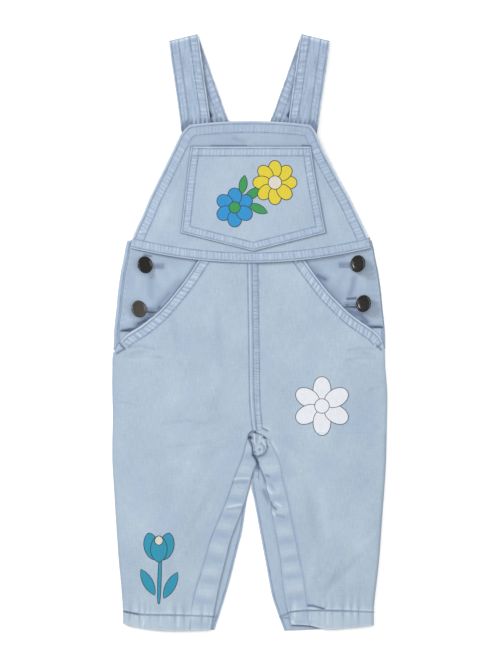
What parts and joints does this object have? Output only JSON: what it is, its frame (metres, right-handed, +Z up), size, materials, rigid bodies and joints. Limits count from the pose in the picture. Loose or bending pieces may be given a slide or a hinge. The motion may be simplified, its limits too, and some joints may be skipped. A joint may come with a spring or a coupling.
{
  "type": "baby dungarees",
  "caption": "Light denim baby dungarees laid flat, with a bib pocket, shoulder straps, side buttons, slanted pocket openings and inseam plackets.",
  "frame": {"origin": "middle of the garment's outline, on the flat surface that it lies on", "axes": "+Y from the hems towards the shoulder straps, +X to the wearer's left, +Z up out of the front of the garment"},
  "size_m": [0.26, 0.5647, 0.0136],
  "materials": {
    "denim": "washed light blue denim with tone-on-tone topstitching",
    "button_metal": "gloss black enamel"
  },
  "bodies": {
    "root": {"front_bib": "denim", "bib_pocket": "denim", "back_bib": "denim", "crotch_tab": "denim", "front_leg_left": "denim", "back_leg_left": "denim", "hip_facing_left": "denim", "hip_button_stand_left": "denim", "inseam_placket_left": "denim", "strap_left": "denim", "front_leg_right": "denim", "back_leg_right": "denim", "hip_facing_right": "denim", "hip_button_stand_right": "denim", "inseam_placket_right": "denim", "strap_right": "denim", "button_upper_left": "button_metal", "button_lower_left": "button_metal", "button_upper_right": "button_metal", "button_lower_right": "button_metal"}
  },
  "joints": []
}
